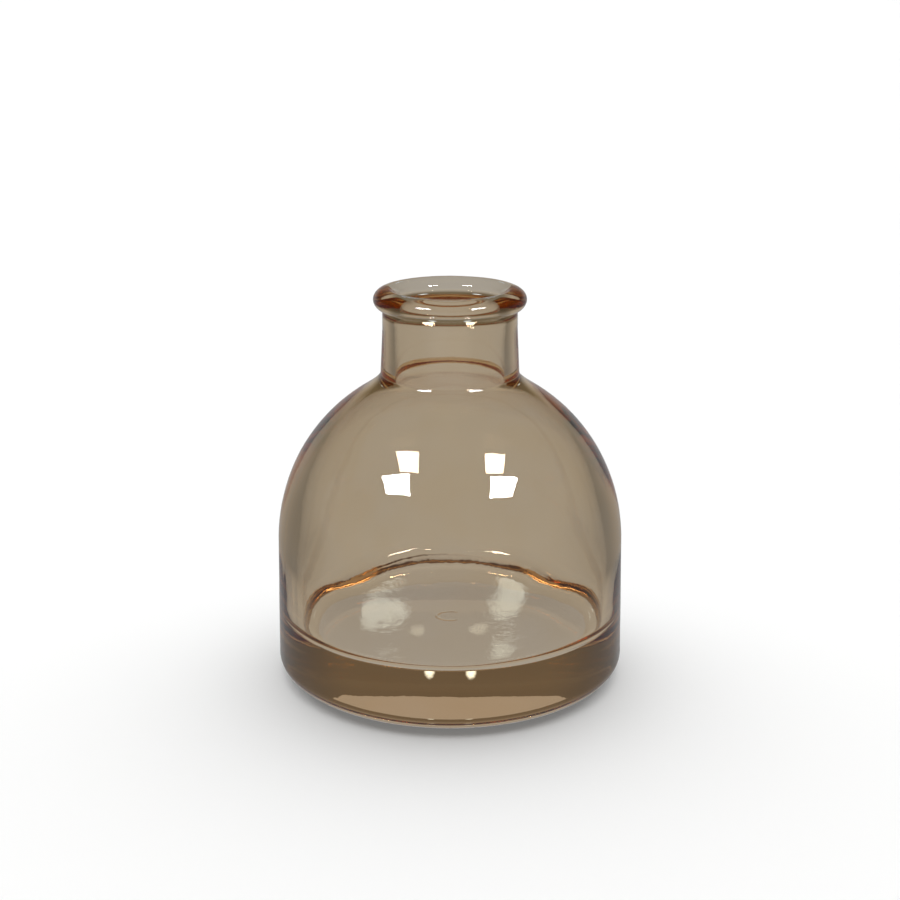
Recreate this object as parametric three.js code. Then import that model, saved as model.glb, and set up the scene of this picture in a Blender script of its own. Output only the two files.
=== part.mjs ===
// Glass bud vase: a squat domed bottle with a short neck, a rolled lip and a thick solid base.
// The whole vase is a single piece of mould-blown glass, so the model is one solid of revolution.
// Units are millimetres, +Z is up, and the origin is the centre of the face that the vase stands on.
import * as THREE from "three";

// ---- Driving dimensions ----

// Overall
const HEIGHT = 90;
const BASE_RADIUS = 40; // the widest place, just above the heel

// Underside: a flat ring to stand on, round a very shallow flat recess called the push-up
const PUSH_UP_RADIUS = 23;
const PUSH_UP_HEIGHT = 0.15;
const FOOT_INNER_RADIUS = 26;
const FOOT_OUTER_RADIUS = 32.9;
const HEEL_HEIGHT = 5; // the rounded edge from the foot up to the wall

// Outside of the body
const DOME_RADIUS = 39.5; // the wall leans in to this radius where the dome begins
const DOME_BASE_Z = 31.7;
const DOME_HEIGHT = 40.7; // up to where the dome would close, inside the neck

// Neck and lip
const NECK_RADIUS = 15.6;
const NECK_TOP_RADIUS = 15.1;
const NECK_TOP_Z = 81;
const SHOULDER_FILLET_OUT = 4.6; // how far the fillet reaches out along the dome
const SHOULDER_FILLET_UP = 1.5; // and up the neck
const LIP_RADIUS = 17.1;
const LIP_BULGE_OUT = 3.2; // half-width and half-height of the rolled lip's section
const LIP_BULGE_UP = 2.5;

// Mouth and neck, inside
const MOUTH_RADIUS = 11; // the narrowest place, just under the lip
const MOUTH_RIM_OUT = 0.6; // how far the fairly sharp rim stands out from the mouth
const MOUTH_RIM_Z = 88.8;
const MOUTH_END_Z = 87;
const NECK_BORE_RADIUS = 12.4;
const NECK_BORE_TOP_Z = 82.5;
const INNER_FILLET_UP = 1.2; // how far up the bore the inner shoulder's rounding reaches

// Inside of the body: the dome's curve goes from its top by the neck down to a straight wall
const INNER_DOME_TOP = [18.7, 64.7]; // radius and height
const INNER_DOME_CORNER = [25.4, 60.6]; // the curve's handles
const INNER_DOME_SIDE_Z = 48;
const INNER_WALL_RADIUS = 35.4;
const INNER_WALL_TOP_Z = 26;
const INNER_HEEL_OUT = 5; // the rounding between the wall and the floor
const INNER_HEEL_UP = 3.5;
const FLOOR_Z = 13; // the top of the solid glass base
const FLOOR_DISH = 0.3; // how much lower the middle of the floor is than its edge

// Facets
const TURN_SEGMENTS = 60;
const CURVE_POINTS = 4; // points in each curve of the section; an arc gets twice as many

const GLASS = { color: 0xb59c78, roughness: 0.03, metalness: 0 };

// ---- The half-section, as one closed outline in the plane of radius and height ----

// Where an ellipse centred on the axis has the given radius, and its slope there.
function ellipseAt(radius, halfWidth, halfHeight, centreZ) {
  const angle = Math.acos(radius / halfWidth);
  return {
    angle,
    z: centreZ + halfHeight * Math.sin(angle),
    slope: (-halfHeight * Math.cos(angle)) / (halfWidth * Math.sin(angle)),
  };
}

// The underside, from the axis out to the foot, and round the heel to the wall.
function drawUnderside(outline) {
  outline.moveTo(0, PUSH_UP_HEIGHT);
  outline.lineTo(PUSH_UP_RADIUS, PUSH_UP_HEIGHT);
  const middle = (PUSH_UP_RADIUS + FOOT_INNER_RADIUS) / 2;
  outline.bezierCurveTo(middle, PUSH_UP_HEIGHT, middle, 0, FOOT_INNER_RADIUS, 0);
  outline.lineTo(FOOT_OUTER_RADIUS, 0);
  const heelWidth = BASE_RADIUS - FOOT_OUTER_RADIUS;
  outline.absellipse(FOOT_OUTER_RADIUS, HEEL_HEIGHT, heelWidth, HEEL_HEIGHT, -Math.PI / 2, 0, false);
}

// The outside of the body and neck, from the heel up to the lip.
function drawOutside(outline) {
  outline.lineTo(DOME_RADIUS, DOME_BASE_Z);
  const filletRadius = NECK_RADIUS + SHOULDER_FILLET_OUT;
  const end = ellipseAt(filletRadius, DOME_RADIUS, DOME_HEIGHT, DOME_BASE_Z);
  outline.absellipse(0, DOME_BASE_Z, DOME_RADIUS, DOME_HEIGHT, 0, end.angle, false);
  const cornerZ = end.z - end.slope * SHOULDER_FILLET_OUT;
  outline.quadraticCurveTo(NECK_RADIUS, cornerZ, NECK_RADIUS, cornerZ + SHOULDER_FILLET_UP);
  outline.lineTo(NECK_TOP_RADIUS, NECK_TOP_Z);
}

// The rolled lip: out from the neck, over the top and down into the mouth.
function drawLip(outline) {
  const centreRadius = LIP_RADIUS - LIP_BULGE_OUT;
  const centreZ = HEIGHT - LIP_BULGE_UP;
  const startAngle = -0.38 * Math.PI;
  const startRadius = centreRadius + LIP_BULGE_OUT * Math.cos(startAngle);
  const startZ = centreZ + LIP_BULGE_UP * Math.sin(startAngle);
  outline.quadraticCurveTo(NECK_TOP_RADIUS, startZ, startRadius, startZ);
  outline.absellipse(centreRadius, centreZ, LIP_BULGE_OUT, LIP_BULGE_UP, startAngle, Math.PI / 2, false);
  const rimRadius = MOUTH_RADIUS + MOUTH_RIM_OUT;
  outline.quadraticCurveTo(rimRadius + 1, HEIGHT, rimRadius, MOUTH_RIM_Z);
}

// The inside, from the rim down the neck, out under the dome and down to the floor.
function drawInside(outline) {
  outline.quadraticCurveTo(MOUTH_RADIUS, MOUTH_RIM_Z - 0.5, MOUTH_RADIUS, MOUTH_END_Z);
  const middleZ = (MOUTH_END_Z + NECK_BORE_TOP_Z) / 2;
  outline.bezierCurveTo(
    MOUTH_RADIUS, middleZ, NECK_BORE_RADIUS, middleZ, NECK_BORE_RADIUS, NECK_BORE_TOP_Z,
  );

  const [topRadius, topZ] = INNER_DOME_TOP;
  const [cornerRadius, cornerZ] = INNER_DOME_CORNER;
  const slope = (topZ - cornerZ) / (cornerRadius - topRadius);
  const boreEndZ = topZ + slope * (topRadius - NECK_BORE_RADIUS);
  outline.lineTo(NECK_BORE_RADIUS, boreEndZ + INNER_FILLET_UP);
  outline.quadraticCurveTo(NECK_BORE_RADIUS, boreEndZ, topRadius, topZ);
  outline.bezierCurveTo(
    cornerRadius, cornerZ, INNER_WALL_RADIUS, INNER_DOME_SIDE_Z, INNER_WALL_RADIUS, INNER_WALL_TOP_Z,
  );

  const heelTopZ = FLOOR_Z + INNER_HEEL_UP;
  const floorRadius = INNER_WALL_RADIUS - INNER_HEEL_OUT;
  outline.lineTo(INNER_WALL_RADIUS, heelTopZ);
  outline.absellipse(floorRadius, heelTopZ, INNER_HEEL_OUT, INNER_HEEL_UP, 0, -Math.PI / 2, true);
  outline.quadraticCurveTo(floorRadius / 2, FLOOR_Z - FLOOR_DISH, 0, FLOOR_Z - FLOOR_DISH);
}

// The outline's points, with repeats left out where one curve ends and the next begins.
function sectionPoints() {
  const outline = new THREE.Path();
  drawUnderside(outline);
  drawOutside(outline);
  drawLip(outline);
  drawInside(outline);
  const points = outline.getPoints(CURVE_POINTS);
  const apart = 0.01;
  return points.filter((p, i) => i === 0 || p.distanceTo(points[i - 1]) > apart);
}

// ---- The vase ----

function makeVase() {
  const geometry = new THREE.LatheGeometry(sectionPoints(), TURN_SEGMENTS);
  geometry.rotateX(Math.PI / 2); // the lathe turns about Y, and the vase stands along Z
  const vase = new THREE.Mesh(geometry, new THREE.MeshStandardMaterial(GLASS));
  vase.name = "vase_body";
  return vase;
}

const budVase = new THREE.Group();
budVase.add(makeVase());

export default budVase;
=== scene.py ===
"""The looks of a glass bud vase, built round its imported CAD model.

The vase is one piece of mould-blown glass with an amber lustre on the outside, so the model is one
closed mesh: a section turned round the axis, with the small unevenness that blowing leaves.
"""
import math

import bpy
import numpy as np
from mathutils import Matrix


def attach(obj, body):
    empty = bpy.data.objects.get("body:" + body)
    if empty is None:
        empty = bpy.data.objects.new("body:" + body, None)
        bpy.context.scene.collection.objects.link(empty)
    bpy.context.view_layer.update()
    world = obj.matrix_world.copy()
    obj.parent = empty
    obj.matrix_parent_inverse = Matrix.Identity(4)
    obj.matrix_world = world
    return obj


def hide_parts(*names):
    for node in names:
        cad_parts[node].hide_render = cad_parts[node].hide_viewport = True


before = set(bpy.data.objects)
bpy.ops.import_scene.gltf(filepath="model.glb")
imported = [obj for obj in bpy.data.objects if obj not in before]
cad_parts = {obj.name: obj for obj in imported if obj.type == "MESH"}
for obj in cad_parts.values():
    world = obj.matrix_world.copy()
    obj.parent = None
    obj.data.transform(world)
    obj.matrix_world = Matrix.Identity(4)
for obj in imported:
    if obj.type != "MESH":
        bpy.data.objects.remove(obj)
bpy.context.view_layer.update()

MM = 0.001
QUARTER = math.pi / 2

# ---- The vase's sizes in millimetres: the CAD model's, except for the recess underneath ----

HEIGHT = 90
BASE_RADIUS = 40

# Underside: a ring to stand on, round a shallow recess. It slopes evenly up to its middle, where
# the CAD model's recess is flat with a step at its edge, because a step shows through the base.
PUSH_UP_HEIGHT = 0.15
FOOT_INNER_RADIUS = 26
FOOT_OUTER_RADIUS = 32.9
HEEL_HEIGHT = 5

# Outside of the body
DOME_RADIUS = 39.5
DOME_BASE_Z = 31.7
DOME_HEIGHT = 40.7

# Neck and lip
NECK_RADIUS = 15.6
NECK_TOP_RADIUS = 15.1
NECK_TOP_Z = 81
SHOULDER_FILLET_OUT = 4.6
SHOULDER_FILLET_UP = 1.5
LIP_RADIUS = 17.1
LIP_BULGE_OUT = 3.2
LIP_BULGE_UP = 2.5
LIP_START_ANGLE = -0.38 * math.pi
LIP_CENTRE = (LIP_RADIUS - LIP_BULGE_OUT, HEIGHT - LIP_BULGE_UP)

# Mouth and neck, inside
MOUTH_RADIUS = 11
MOUTH_RIM_OUT = 0.6
MOUTH_RIM_Z = 88.8
MOUTH_END_Z = 87
EDGE_BEND = 1  # how far out from the rim the edge's curve has its corner
MOUTH_BEND = 0.5  # how far below the rim the mouth's curve has its corner
NECK_BORE_RADIUS = 12.4
NECK_BORE_TOP_Z = 82.5
INNER_FILLET_UP = 1.2

# Inside of the body
INNER_DOME_TOP = (18.7, 64.7)
INNER_DOME_CORNER = (25.4, 60.6)
INNER_DOME_SIDE_Z = 48
INNER_WALL_RADIUS = 35.4
INNER_WALL_TOP_Z = 26
INNER_HEEL_OUT = 5
INNER_HEEL_UP = 3.5
FLOOR_Z = 13
FLOOR_DISH = 0.3

# Mesh
TURN_SEGMENTS = 256
CURVE_POINTS = 24
LINE_STEP = 1.5  # millimetres between the points of a straight line
POINTS_APART = 0.01  # closer points than this are one point

# ---- Unevenness, in millimetres: the inside is free glass, the outside is pressed by the mould ----

SEED = 11
WAVES = 26
INSIDE_UNEVEN = 0.13
INSIDE_WAVE = (16, 60)  # shortest and longest wavelength
OUTSIDE_UNEVEN = 0.014
OUTSIDE_WAVE = (7, 22)
EVEN_ABOVE_Z = 84  # the inside is even from here up, and fades in below it
INSIDE_FADE = 8
OUTSIDE_FADE = 6  # the outside fades in over this height, so that the foot stays flat
FLOOR_EVEN = 0.15  # how much of the inside's unevenness the floor has
FLOOR_REACH = 1  # how near in height to the floor still counts as floor
SIDEWAYS_WITHIN = 25  # the push is level within this height of the middle, and sloping beyond it
SEAM_HEIGHT = 0.03
SEAM_AT = 14  # the column of vertices that one mould seam follows; the other is opposite
SEAM_TOP_Z = 82

# ---- Glass: the coat is 1 on the outside, 0 on the bare inside, and thinner on the underside ----

GLASS_IOR = 1.5
UNDERSIDE_COAT = 0.4
TINT = (0.95, 0.77, 0.53)  # what the coat leaves of light that goes in through it
ONE_PASS = tuple(math.sqrt(c) for c in TINT)  # and of light that goes out
BOUNCE = (0.84, 0.66, 0.44)  # and of light that is turned back into the glass
ABSORB = (1.0, 0.55, 0.1)  # the tint of the glass itself, which is slight
ABSORB_DENSITY = 2.5
SHADOW_TINT = (0.97, 0.97, 0.97)  # what each surface leaves of light in the vase's shadow

# Clouds in the coat, and ripples in the surface
CLOUD_SCALE = 60
CLOUD_DETAIL = 2
CLOUD_RANGE = (0.3, 0.7)
CLOUD_LEVELS = (0.88, 1.08)
RIPPLE_SCALE = 260
RIPPLE_DETAIL = 3
RIPPLE_DEPTH = 0.00002

# The mark at the middle of the floor, in metres, with its height in ripple depths
MARK_RADIUS = 0.0032
MARK_WIDTH = 0.0006
MARK_HEIGHT = 8
MARK_OPEN = 0.0015  # the ring is open beyond this distance along X

# ---- Studio, in metres ----

WHITE = (1, 1, 1)
FLOOR_SIZE = 40.0
FLOOR_GAP = -0.0001
FLOOR_WHITE = 0.9
# The painted light level at which the table that the glass shows glows, in place of lamp light
TABLE_GLOW = 0.41

# Dark boards at the two sides, by how far sideways a direction is
SIDE_TONE = 0.48
SIDE_START = 0.35
SIDE_END = 0.85
SIDE_NEAR = 0.06  # on the table, the boards' shade fades in between these distances
SIDE_FAR = 0.12
NOT_ZERO = 0.001  # keeps a division by the distance away from zero

# The room behind and above, by how far up a direction is
WORLD_LOW = 0.02
WORLD_HIGH = 0.30
WORLD_HORIZON = (0.44, 0.43, 0.41)
WORLD_ABOVE = (0.145, 0.122, 0.082)

# Two windows behind the vase, by direction
WINDOW_AT = (0.068, 0.370)
WINDOW_SIZE = (0.016, 0.028)
WINDOW_EDGE = 0.9
WINDOW_COLOUR = (2.0, 2.5, 3.0)

# A wide soft light from the sky
SUN = 3.85
SUN_COLOUR = (0.965, 0.98, 1.0)
SUN_ANGLE = 115
SUN_TILT = -30
SUN_HEIGHT = 2

# Two square lamps: each has a name, its X and Y in panel heights, and its turn in degrees
PANEL_HEIGHT = 1.25
PANEL_ABOVE = 0.055
PANEL_SIDE = 0.60
PANEL_RADIANCE = 46
PANEL_LOST = 0.09  # what is left of a lamp's light from the second glossy bounce on
PANEL_DEPTH = (1.2, 1.8)  # a step between the first glossy bounce and the second
PANELS = (("panel_left", -0.84, -0.77, -18), ("panel_right", 0.87, -0.81, 18))

# Camera
SENSOR = 36
LENS = 64.954
CAMERA_AT = (0, -0.35497, 0.15830)
CAMERA_DOWN = 16.606


# ---- The half-section ----

def ellipse_at(radius, half_width, half_height, centre_z):
    """The angle, height and slope of an ellipse round the axis, where it has this radius."""
    angle = math.acos(radius / half_width)
    z = centre_z + half_height * math.sin(angle)
    slope = -half_height * math.cos(angle) / (half_width * math.sin(angle))
    return angle, z, slope


def arc(centre, half_width, half_height, start, end):
    """Points along part of an ellipse."""
    return [
        (centre[0] + half_width * math.cos(a), centre[1] + half_height * math.sin(a))
        for a in np.linspace(start, end, CURVE_POINTS + 1)
    ]


def bezier(*corners):
    """Points along a Bezier curve with three or four control points."""
    points = []
    for t in np.linspace(0, 1, CURVE_POINTS + 1):
        level = [np.array(c, float) for c in corners]
        while len(level) > 1:
            level = [(1 - t) * a + t * b for a, b in zip(level, level[1:])]
        points.append(tuple(level[0]))
    return points


def line(start, end):
    """Points along a straight line, close enough together to carry unevenness."""
    count = max(1, round(math.dist(start, end) / LINE_STEP))
    return [
        (start[0] + (end[0] - start[0]) * k / count, start[1] + (end[1] - start[1]) * k / count)
        for k in range(count + 1)
    ]


def underside():
    """From the axis out to the edge of the foot."""
    middle = FOOT_INNER_RADIUS / 2
    recess = bezier((0, PUSH_UP_HEIGHT), (middle, PUSH_UP_HEIGHT), (middle, 0), (FOOT_INNER_RADIUS, 0))
    return recess + line((FOOT_INNER_RADIUS, 0), (FOOT_OUTER_RADIUS, 0))


def outside():
    """From the foot round the heel, up the wall, dome and neck, and over the lip."""
    heel_width = BASE_RADIUS - FOOT_OUTER_RADIUS
    heel = arc((FOOT_OUTER_RADIUS, HEEL_HEIGHT), heel_width, HEEL_HEIGHT, -QUARTER, 0)
    wall = line((BASE_RADIUS, HEEL_HEIGHT), (DOME_RADIUS, DOME_BASE_Z))

    fillet_radius = NECK_RADIUS + SHOULDER_FILLET_OUT
    end_angle, end_z, slope = ellipse_at(fillet_radius, DOME_RADIUS, DOME_HEIGHT, DOME_BASE_Z)
    dome = arc((0, DOME_BASE_Z), DOME_RADIUS, DOME_HEIGHT, 0, end_angle)
    corner_z = end_z - slope * SHOULDER_FILLET_OUT
    fillet_top = (NECK_RADIUS, corner_z + SHOULDER_FILLET_UP)
    fillet = bezier((fillet_radius, end_z), (NECK_RADIUS, corner_z), fillet_top)
    neck = line(fillet_top, (NECK_TOP_RADIUS, NECK_TOP_Z))

    lip_start = (
        LIP_CENTRE[0] + LIP_BULGE_OUT * math.cos(LIP_START_ANGLE),
        LIP_CENTRE[1] + LIP_BULGE_UP * math.sin(LIP_START_ANGLE),
    )
    under_lip = bezier((NECK_TOP_RADIUS, NECK_TOP_Z), (NECK_TOP_RADIUS, lip_start[1]), lip_start)
    lip = arc(LIP_CENTRE, LIP_BULGE_OUT, LIP_BULGE_UP, LIP_START_ANGLE, QUARTER)
    return heel + wall + dome + fillet + neck + under_lip + lip


def inside():
    """From the lip's top over the rim, down the neck and the wall, to the middle of the floor."""
    rim = (MOUTH_RADIUS + MOUTH_RIM_OUT, MOUTH_RIM_Z)
    mouth_end = (MOUTH_RADIUS, MOUTH_END_Z)
    edge = bezier((LIP_CENTRE[0], HEIGHT), (rim[0] + EDGE_BEND, HEIGHT), rim)
    mouth = bezier(rim, (MOUTH_RADIUS, MOUTH_RIM_Z - MOUTH_BEND), mouth_end)
    bore_top = (NECK_BORE_RADIUS, NECK_BORE_TOP_Z)
    middle_z = (MOUTH_END_Z + NECK_BORE_TOP_Z) / 2
    throat = bezier(mouth_end, (MOUTH_RADIUS, middle_z), (NECK_BORE_RADIUS, middle_z), bore_top)

    top, corner = INNER_DOME_TOP, INNER_DOME_CORNER
    slope = (top[1] - corner[1]) / (corner[0] - top[0])
    shoulder = (NECK_BORE_RADIUS, top[1] + slope * (top[0] - NECK_BORE_RADIUS))
    bore_end = (NECK_BORE_RADIUS, shoulder[1] + INNER_FILLET_UP)
    bore = line(bore_top, bore_end)
    fillet = bezier(bore_end, shoulder, top)
    wall_top = (INNER_WALL_RADIUS, INNER_WALL_TOP_Z)
    dome = bezier(top, corner, (INNER_WALL_RADIUS, INNER_DOME_SIDE_Z), wall_top)

    heel_top = (INNER_WALL_RADIUS, FLOOR_Z + INNER_HEEL_UP)
    wall = line(wall_top, heel_top)
    floor_radius = INNER_WALL_RADIUS - INNER_HEEL_OUT
    heel = arc((floor_radius, heel_top[1]), INNER_HEEL_OUT, INNER_HEEL_UP, 0, -QUARTER)
    dish_z = FLOOR_Z - FLOOR_DISH
    floor = bezier((floor_radius, FLOOR_Z), (floor_radius / 2, dish_z), (0, dish_z))
    return edge + mouth + throat + bore + fillet + dome + wall + heel + floor


def section():
    """The whole half-section as points of radius, height and coat, with repeats left out."""
    stretches = ((underside(), UNDERSIDE_COAT), (outside(), 1.0), (inside(), 0.0))
    points = [(r, z, coat) for stretch, coat in stretches for r, z in stretch]
    kept = [points[0]]
    for p in points[1:]:
        if math.dist(p[:2], kept[-1][:2]) > POINTS_APART:
            kept.append(p)
    return kept


def unevenness(rng, wave_range):
    """A smooth random field in space with a root mean square of one."""
    directions = rng.normal(size=(WAVES, 3))
    directions /= np.linalg.norm(directions, axis=1)[:, None]
    lengths = rng.uniform(*wave_range, WAVES)
    phases = rng.uniform(0, 2 * math.pi, WAVES)
    vectors = directions * (2 * math.pi / lengths)[:, None]
    strengths = lengths / math.sqrt((lengths ** 2).sum() / 2)

    def field(places):
        return (np.sin(places @ vectors.T + phases) * strengths).sum(axis=1)

    return field


def uneven(vertices, coat):
    """Move each vertex a little along the line from the middle of the vase."""
    rng = np.random.default_rng(SEED)
    free_glass, pressed_glass = unevenness(rng, INSIDE_WAVE), unevenness(rng, OUTSIDE_WAVE)
    places = np.array(vertices) / MM
    height = places[:, 2]

    free = np.clip((EVEN_ABOVE_Z - height) / INSIDE_FADE, 0, 1) * (coat == 0)
    on_floor = (height < FLOOR_Z + FLOOR_REACH) & (coat == 0)
    free *= np.where(on_floor, FLOOR_EVEN, 1)
    pressed = np.clip(height / OUTSIDE_FADE, 0, 1) * (coat == 1)
    column = (np.arange(len(vertices)) - 1) % TURN_SEGMENTS
    on_seam = (column % (TURN_SEGMENTS // 2) == SEAM_AT) & (height < SEAM_TOP_Z)

    push = free * INSIDE_UNEVEN * free_glass(places)
    push += pressed * OUTSIDE_UNEVEN * pressed_glass(places)
    push += pressed * SEAM_HEIGHT * on_seam
    away = places - np.array((0, 0, HEIGHT / 2))
    away[:, 2] *= np.abs(away[:, 2]) > SIDEWAYS_WITHIN
    away /= np.maximum(np.linalg.norm(away, axis=1), 1)[:, None]
    return (places + away * push[:, None]) * MM


def turned(points):
    """A closed mesh: the section turned round the axis, with one vertex at each end of it."""
    rings = points[1:-1]
    angles = np.linspace(0, 2 * math.pi, TURN_SEGMENTS, endpoint=False)
    vertices = [(0, 0, points[0][1] * MM)]
    coat = [points[0][2]]
    for r, z, c in rings:
        vertices += [(r * MM * math.cos(a), r * MM * math.sin(a), z * MM) for a in angles]
        coat += [c] * TURN_SEGMENTS
    vertices.append((0, 0, points[-1][1] * MM))
    coat.append(points[-1][2])

    last = len(vertices) - 1
    top = 1 + (len(rings) - 1) * TURN_SEGMENTS
    faces = []
    for k in range(TURN_SEGMENTS):
        n = (k + 1) % TURN_SEGMENTS
        faces.append((0, 1 + n, 1 + k))
        faces.append((last, top + k, top + n))
        for lower in range(1, top, TURN_SEGMENTS):
            upper = lower + TURN_SEGMENTS
            faces.append((lower + k, lower + n, upper + n, upper + k))
    mesh = bpy.data.meshes.new("glass_vase")
    mesh.from_pydata(uneven(vertices, np.array(coat)).tolist(), [], faces)
    attribute = mesh.attributes.new("coat", "FLOAT", "POINT")
    attribute.data.foreach_set("value", coat)
    mesh.shade_smooth()
    return mesh


# ---- Materials ----

def math_node(nt, operation, *values):
    """A maths node, with each value a number or the socket that gives it."""
    node = nt.nodes.new("ShaderNodeMath")
    node.operation = operation
    for socket, value in zip(node.inputs, values):
        if isinstance(value, (int, float)):
            socket.default_value = value
        else:
            nt.links.new(value, socket)
    return node.outputs[0]


def ramp_node(nt, value, start, end, low, high):
    """A smooth step from one level to another."""
    node = nt.nodes.new("ShaderNodeMapRange")
    node.interpolation_type = "SMOOTHSTEP"
    for name, number in (("From Min", start), ("From Max", end), ("To Min", low), ("To Max", high)):
        node.inputs[name].default_value = number
    nt.links.new(value, node.inputs["Value"])
    return node.outputs[0]


def noise(nt, place, scale, detail):
    """Smooth three-dimensional noise, fixed to the object."""
    node = nt.nodes.new("ShaderNodeTexNoise")
    node.inputs["Scale"].default_value = scale
    node.inputs["Detail"].default_value = detail
    nt.links.new(place, node.inputs["Vector"])
    return node.outputs["Fac"]


def mix_colour(nt, factor, first, second):
    """A mix of two colours, each one three numbers or the socket that gives it."""
    mix = nt.nodes.new("ShaderNodeMix")
    mix.data_type = "RGBA"
    nt.links.new(factor, mix.inputs["Factor"])
    for name, colour in (("A", first), ("B", second)):
        if isinstance(colour, tuple):
            mix.inputs[name].default_value = (*colour, 1)
        else:
            nt.links.new(colour, mix.inputs[name])
    return mix.outputs["Result"]


def mix_shader(nt, factor, first, second):
    """The first shader where the factor is 0, and the second where it is 1."""
    node = nt.nodes.new("ShaderNodeMixShader")
    for socket, output in zip(node.inputs, (factor, first, second)):
        nt.links.new(output, socket)
    return node.outputs[0]


def light_path(nt, name):
    """What kind of ray this is, or how often it has bounced."""
    return nt.nodes.new("ShaderNodeLightPath").outputs[name]


def from_axis(nt, vector):
    """The parts of a vector, and its length across the vase's axis."""
    parts = nt.nodes.new("ShaderNodeSeparateXYZ")
    nt.links.new(vector, parts.inputs[0])
    x, y = parts.outputs["X"], parts.outputs["Y"]
    square = math_node(nt, "ADD", math_node(nt, "MULTIPLY", x, x), math_node(nt, "MULTIPLY", y, y))
    return parts, math_node(nt, "SQRT", square)


def new_material(name):
    """An empty material, and its output node."""
    mat = bpy.data.materials.new(name)
    mat.use_nodes = True
    mat.node_tree.nodes.clear()
    return mat, mat.node_tree.nodes.new("ShaderNodeOutputMaterial")


def floor_mark(nt, place):
    """The height of an open ring round the middle of the inside floor."""
    parts, distance = from_axis(nt, place)
    off = math_node(nt, "ABSOLUTE", math_node(nt, "SUBTRACT", distance, MARK_RADIUS))
    ring = ramp_node(nt, off, 0, MARK_WIDTH, MARK_HEIGHT, 0)
    whole = ramp_node(nt, parts.outputs["X"], MARK_OPEN - MARK_WIDTH, MARK_OPEN + MARK_WIDTH, 1, 0)
    above = math_node(nt, "GREATER_THAN", parts.outputs["Z"], (FLOOR_Z - FLOOR_REACH) * MM)
    below = math_node(nt, "LESS_THAN", parts.outputs["Z"], (FLOOR_Z + FLOOR_REACH) * MM)
    return math_node(nt, "MULTIPLY", math_node(nt, "MULTIPLY", ring, whole),
                     math_node(nt, "MULTIPLY", above, below))


def glass_from_outside(nt, place, coat):
    """Rippled glass, as light meets it from the air."""
    bump = nt.nodes.new("ShaderNodeBump")
    bump.inputs["Strength"].default_value = 1.0
    bump.inputs["Distance"].default_value = RIPPLE_DEPTH
    ripple = noise(nt, place, RIPPLE_SCALE, RIPPLE_DETAIL)
    nt.links.new(math_node(nt, "ADD", ripple, floor_mark(nt, place)), bump.inputs["Height"])

    glass = nt.nodes.new("ShaderNodeBsdfPrincipled")
    glass.inputs["Transmission Weight"].default_value = 1.0
    glass.inputs["IOR"].default_value = GLASS_IOR
    glass.inputs["Roughness"].default_value = 0.0
    nt.links.new(mix_colour(nt, coat, WHITE, TINT), glass.inputs["Base Color"])
    nt.links.new(bump.outputs[0], glass.inputs["Normal"])
    return glass.outputs[0]


def glass_from_inside(nt, coat):
    """As light meets it from within the glass: some leaves, and the coat turns some back."""
    leaving = nt.nodes.new("ShaderNodeBsdfRefraction")
    leaving.inputs["IOR"].default_value = GLASS_IOR
    leaving.inputs["Roughness"].default_value = 0.0
    nt.links.new(mix_colour(nt, coat, WHITE, ONE_PASS), leaving.inputs["Color"])
    turned_back = nt.nodes.new("ShaderNodeBsdfAnisotropic")
    turned_back.inputs["Roughness"].default_value = 0.0
    nt.links.new(mix_colour(nt, coat, WHITE, BOUNCE), turned_back.inputs["Color"])
    fresnel = nt.nodes.new("ShaderNodeFresnel")
    fresnel.inputs["IOR"].default_value = GLASS_IOR
    return mix_shader(nt, fresnel.outputs[0], leaving.outputs[0], turned_back.outputs[0])


def glass_material():
    """Clear glass with a thin amber lustre outside, which tints light each time it meets it."""
    mat, out = new_material("tinted_glass")
    nt = mat.node_tree
    place = nt.nodes.new("ShaderNodeTexCoord").outputs["Object"]
    thickness = nt.nodes.new("ShaderNodeAttribute")
    thickness.attribute_name = "coat"
    cloud = noise(nt, place, CLOUD_SCALE, CLOUD_DETAIL)
    clouds = ramp_node(nt, cloud, *CLOUD_RANGE, *CLOUD_LEVELS)
    coat = math_node(nt, "MULTIPLY", thickness.outputs["Fac"], clouds)

    backfacing = nt.nodes.new("ShaderNodeNewGeometry").outputs["Backfacing"]
    from_outside = glass_from_outside(nt, place, coat)
    surface = mix_shader(nt, backfacing, from_outside, glass_from_inside(nt, coat))

    # Shadow rays go straight through, as caustics are off
    clear = nt.nodes.new("ShaderNodeBsdfTransparent")
    clear.inputs["Color"].default_value = (*SHADOW_TINT, 1)
    surface = mix_shader(nt, light_path(nt, "Is Shadow Ray"), surface, clear.outputs[0])
    nt.links.new(surface, out.inputs["Surface"])

    volume = nt.nodes.new("ShaderNodeVolumeAbsorption")
    volume.inputs["Color"].default_value = (*ABSORB, 1)
    volume.inputs["Density"].default_value = ABSORB_DENSITY
    nt.links.new(volume.outputs[0], out.inputs["Volume"])
    return mat


# ---- Studio ----

def place_object(name, data):
    """A new object that holds this mesh, light or camera."""
    ob = bpy.data.objects.new(name, data)
    bpy.context.scene.collection.objects.link(ob)
    return ob


def side_shade(nt, parts, distance):
    """How light the dark boards at the two sides leave a direction."""
    across = math_node(nt, "MAXIMUM", distance, NOT_ZERO)
    sideways = math_node(nt, "DIVIDE", math_node(nt, "ABSOLUTE", parts.outputs["X"]), across)
    return ramp_node(nt, sideways, SIDE_START, SIDE_END, 1, SIDE_TONE)


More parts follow.
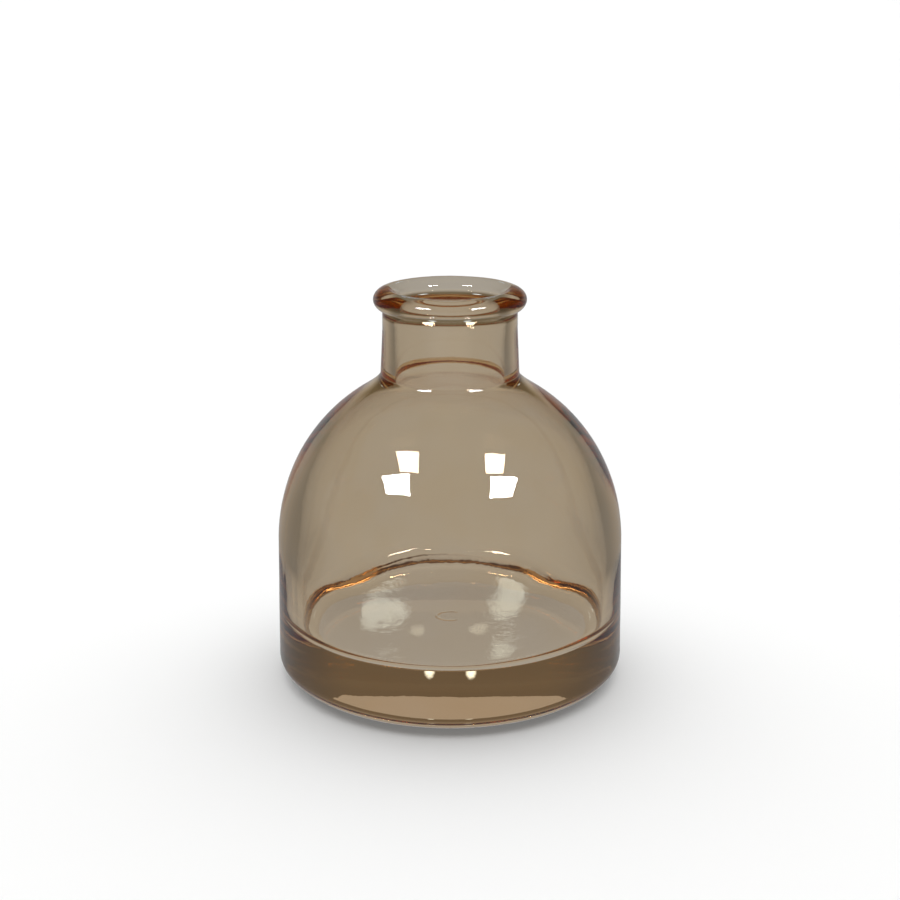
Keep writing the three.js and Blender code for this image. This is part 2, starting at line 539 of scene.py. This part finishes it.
def floor_material():
    """A white sweep for the camera; for the glass, a glowing grey table with painted light and painted
    side shade.
    """
    mat, out = new_material("floor")
    nt = mat.node_tree
    white = nt.nodes.new("ShaderNodeBsdfDiffuse")
    white.inputs["Color"].default_value = (FLOOR_WHITE, FLOOR_WHITE, FLOOR_WHITE, 1)

    # Painted light: the table glows at a set level instead of being lit, with painted shade at the
    # sides from the dark boards
    table = nt.nodes.new("ShaderNodeEmission")
    table.inputs["Color"].default_value = (*WHITE, 1)
    parts, distance = from_axis(nt, nt.nodes.new("ShaderNodeNewGeometry").outputs["Position"])
    shaded = math_node(nt, "SUBTRACT", 1, side_shade(nt, parts, distance))
    near = ramp_node(nt, distance, SIDE_NEAR, SIDE_FAR, 0, 1)
    level = math_node(nt, "SUBTRACT", 1, math_node(nt, "MULTIPLY", shaded, near))
    nt.links.new(math_node(nt, "MULTIPLY", level, TABLE_GLOW), table.inputs["Strength"])

    seen = light_path(nt, "Is Camera Ray")
    nt.links.new(mix_shader(nt, seen, table.outputs[0], white.outputs[0]), out.inputs["Surface"])
    return mat


def make_floor():
    """A plain floor just under the foot."""
    mesh = bpy.data.meshes.new("floor")
    reach = FLOOR_SIZE / 2
    corners = [(-reach, -reach), (reach, -reach), (reach, reach), (-reach, reach)]
    mesh.from_pydata([(x, y, FLOOR_GAP) for x, y in corners], [], [(0, 1, 2, 3)])
    mesh.materials.append(floor_material())
    return place_object("floor", mesh)


def far_windows(nt, parts):
    """Two small soft windows behind the vase, which its floor mirrors."""
    x, z = math_node(nt, "ABSOLUTE", parts.outputs["X"]), parts.outputs["Z"]
    across, up = (
        math_node(nt, "DIVIDE", math_node(nt, "SUBTRACT", value, at), size)
        for value, at, size in zip((x, z), WINDOW_AT, WINDOW_SIZE)
    )
    square = math_node(
        nt, "ADD", math_node(nt, "MULTIPLY", across, across), math_node(nt, "MULTIPLY", up, up)
    )
    spot = ramp_node(nt, square, 1 - WINDOW_EDGE, 1 + WINDOW_EDGE, 1, 0)
    behind = math_node(nt, "GREATER_THAN", parts.outputs["Y"], 0)
    return math_node(nt, "MULTIPLY", spot, behind)


def make_world():
    """A white backdrop for the camera, and a dim room for everything else."""
    world = bpy.data.worlds.new("studio")
    bpy.context.scene.world = world
    world.use_nodes = True
    nt = world.node_tree
    direction = nt.nodes.new("ShaderNodeTexCoord").outputs["Generated"]
    parts, distance = from_axis(nt, direction)
    above = ramp_node(nt, parts.outputs["Z"], WORLD_LOW, WORLD_HIGH, 0, 1)
    sky = mix_colour(nt, above, WORLD_HORIZON, WORLD_ABOVE)
    room = nt.nodes["Background"]
    lit = mix_colour(nt, far_windows(nt, parts), sky, WINDOW_COLOUR)
    nt.links.new(lit, room.inputs["Color"])
    nt.links.new(side_shade(nt, parts, distance), room.inputs["Strength"])

    backdrop = nt.nodes.new("ShaderNodeBackground")
    backdrop.inputs["Color"].default_value = (*WHITE, 1)
    seen = light_path(nt, "Is Camera Ray")
    surface = mix_shader(nt, seen, room.outputs[0], backdrop.outputs[0])
    nt.links.new(surface, nt.nodes["World Output"].inputs["Surface"])


def make_sky_light():
    """A wide soft light for the floor, which the glass doesn't show."""
    data = bpy.data.lights.new("sky_light", "SUN")
    data.energy = SUN
    data.color = SUN_COLOUR
    data.angle = math.radians(SUN_ANGLE)
    sun = place_object("sky_light", data)
    sun.location = (0, 0, SUN_HEIGHT)
    sun.rotation_euler = (math.radians(SUN_TILT), 0, 0)
    sun.visible_glossy = False
    sun.visible_transmission = False


def make_panel(name, x, y, turn):
    """A square lamp that faces down and lights nothing, but shows in the glass."""
    data = bpy.data.lights.new(name, "AREA")
    data.shape = "SQUARE"
    data.size = PANEL_SIDE
    data.energy = PANEL_RADIANCE * math.pi * PANEL_SIDE ** 2
    data.use_nodes = True
    nt = data.node_tree
    level = ramp_node(nt, light_path(nt, "Glossy Depth"), *PANEL_DEPTH, 1, PANEL_LOST)
    nt.links.new(level, nt.nodes["Emission"].inputs["Strength"])
    lamp = place_object(name, data)
    lamp.location = (x * PANEL_HEIGHT, y * PANEL_HEIGHT, PANEL_HEIGHT + PANEL_ABOVE)
    lamp.rotation_euler = (0, 0, math.radians(turn))
    lamp.visible_diffuse = False


def make_camera():
    """A camera in front of the vase that looks a little down at it."""
    data = bpy.data.cameras.new("camera")
    data.sensor_width = SENSOR
    data.lens = LENS
    camera = place_object("camera", data)
    camera.location = CAMERA_AT
    camera.rotation_euler = (math.radians(90 - CAMERA_DOWN), 0, 0)
    bpy.context.scene.camera = camera


# ---- The scene ----

vase = place_object("glass_vase", turned(section()))
vase.data.materials.append(glass_material())
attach(vase, "root")
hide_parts("vase_body")

make_floor()
make_world()
make_sky_light()
for panel in PANELS:
    make_panel(*panel)
make_camera()

# Light crosses the thick glass, and bounces along inside it, many times
cycles = bpy.context.scene.cycles
cycles.max_bounces = 40
cycles.transmission_bounces = 40
cycles.glossy_bounces = 28
cycles.transparent_max_bounces = 16
cycles.caustics_reflective = False
cycles.caustics_refractive = False
cycles.sample_clamp_indirect = 0
bpy.context.scene.view_settings.view_transform = "Standard"
